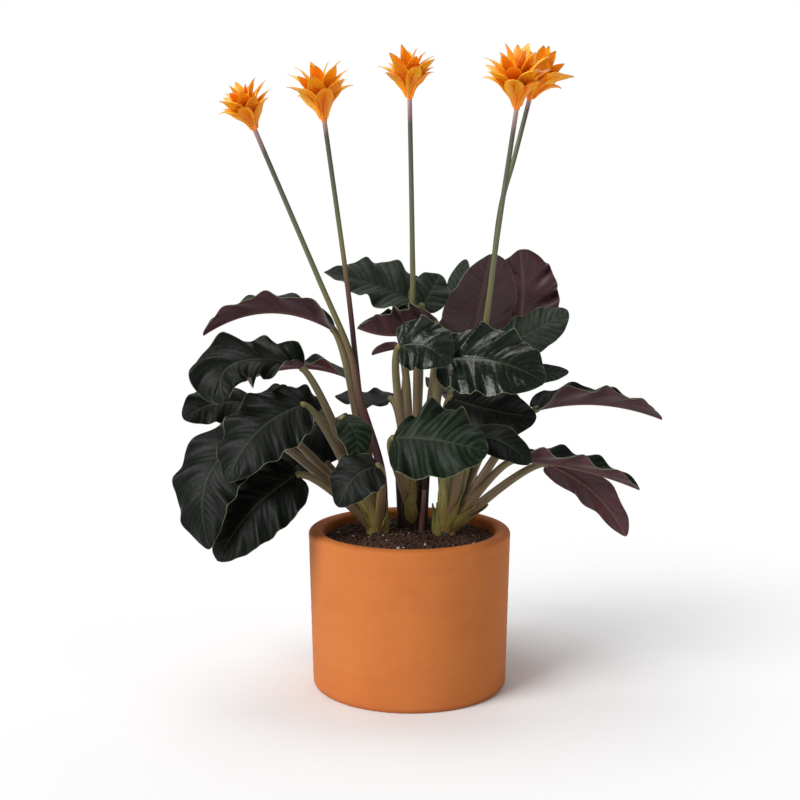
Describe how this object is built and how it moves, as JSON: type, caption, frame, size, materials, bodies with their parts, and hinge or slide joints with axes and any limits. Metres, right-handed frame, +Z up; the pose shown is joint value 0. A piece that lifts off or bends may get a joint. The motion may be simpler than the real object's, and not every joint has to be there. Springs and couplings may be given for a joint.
{
  "type": "potted eternal flame calathea",
  "caption": "Potted prayer plant with waved dark leaves, purple underneath, and orange flame-shaped flower heads on tall stalks, in a round terracotta pot.",
  "frame": {"origin": "centre of the pot's flat underside", "axes": "+Z up along the pot's axis, +X to the right of the plant's front, +Y towards its back"},
  "size_m": [0.3593, 0.227, 0.4734],
  "materials": {
    "terracotta": "unglazed, matte, faint throwing bands",
    "potting_soil": "matte, crumbly, with pale grains",
    "stem_green": "satin, olive green to brown purple",
    "leaf": "satin, dark green above and wine purple below, corrugated along the veins",
    "bract_orange": "satin, saffron orange with yellow edges and dark tips"
  },
  "bodies": {
    "root": {"bloom_far_left": "bract_orange", "bloom_left": "bract_orange", "bloom_middle": "bract_orange", "bloom_right_back": "bract_orange", "bloom_right_front": "bract_orange", "leaf_back_ruffled": "leaf", "leaf_back_shaded": "leaf", "leaf_back_tip": "leaf", "leaf_back_upright": "leaf", "leaf_centre_pointed": "leaf", "leaf_centre_rolled": "leaf", "leaf_centre_small": "leaf", "leaf_front_centre": "leaf", "leaf_left_arched": "leaf", "leaf_left_back_long": "leaf", "leaf_left_back_low": "leaf", "leaf_left_behind_broad": "leaf", "leaf_left_broad": "leaf", "leaf_left_drooping": "leaf", "leaf_left_far": "leaf", "leaf_left_hanging": "leaf", "leaf_left_lowest": "leaf", "leaf_rear_left": "leaf", "leaf_rear_low": "leaf", "leaf_rear_upper": "leaf", "leaf_right_behind": "leaf", "leaf_right_glossy": "leaf", "leaf_right_hanging": "leaf", "leaf_right_long": "leaf", "leaf_right_lower": "leaf", "leaf_right_shaded": "leaf", "leaf_right_strip": "leaf", "leaf_round_front": "leaf", "leaf_small_left": "leaf", "leaf_top_centre": "leaf", "leaf_top_fan": "leaf", "leaf_top_folded": "leaf", "pot": "terracotta", "shoot_left": "stem_green", "shoot_middle": "stem_green", "shoot_right": "stem_green", "soil": "potting_soil"}
  },
  "joints": []
}
